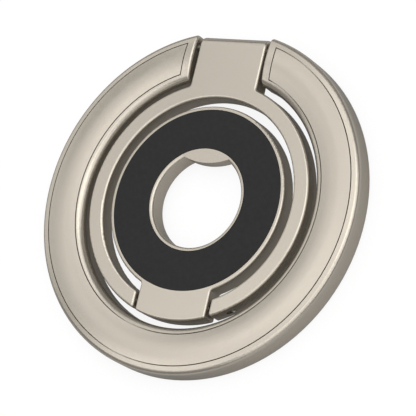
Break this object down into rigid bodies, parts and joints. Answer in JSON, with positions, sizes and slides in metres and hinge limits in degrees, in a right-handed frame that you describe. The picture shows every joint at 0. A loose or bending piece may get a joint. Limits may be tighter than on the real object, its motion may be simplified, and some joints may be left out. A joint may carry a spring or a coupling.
{
  "type": "magnetic phone ring holder",
  "caption": "Folding ring holder that clings to a phone's back by magnets: an open magnet ring, a hinged middle ring and a hinged disc with a finger hole.",
  "frame": {"origin": "common centre of the rings, on the plane of the back pad that the holder lies on", "axes": "+Z out of the face, away from the phone; +Y towards the top hinge; +X along both hinge axes"},
  "size_m": [0.06, 0.059, 0.0048],
  "materials": {
    "champagne_metal": "satin, fine blasted and anodised",
    "magnet": "nickel plated",
    "keeper_steel": "plain sheet",
    "hinge_steel": "ground",
    "back_pad": "matt silicone",
    "face_pad": "matt silicone"
  },
  "bodies": {
    "base": {"outer_ring": "champagne_metal", "inlay_plate": "champagne_metal", "ring_keeper": "keeper_steel", "ring_magnet_01": "magnet", "ring_magnet_02": "magnet", "ring_magnet_03": "magnet", "ring_magnet_04": "magnet", "ring_magnet_05": "magnet", "ring_magnet_06": "magnet", "ring_magnet_07": "magnet", "ring_magnet_08": "magnet", "ring_magnet_09": "magnet", "ring_magnet_10": "magnet", "ring_magnet_11": "magnet", "ring_magnet_12": "magnet", "ring_magnet_13": "magnet", "ring_magnet_14": "magnet", "phone_pad": "back_pad", "top_hinge_pin": "hinge_steel"},
    "middle": {"middle_ring": "champagne_metal", "top_clip_left": "hinge_steel", "top_clip_right": "hinge_steel", "bottom_hinge_pin": "hinge_steel"},
    "disc": {"disc": "champagne_metal", "disc_pad": "face_pad", "bottom_clip_left": "hinge_steel", "bottom_clip_right": "hinge_steel"}
  },
  "joints": [
    {"name": "top_hinge", "type": "hinge", "parent": "base", "child": "middle", "pos_m": [0, 0.0273, 0.00261], "axis": [-1, 0, 0], "range_deg": [0, 150]},
    {"name": "bottom_hinge", "type": "hinge", "parent": "middle", "child": "disc", "pos_m": [0, -0.01785, 0.00261], "axis": [1, 0, 0], "range_deg": [0, 120]}
  ]
}
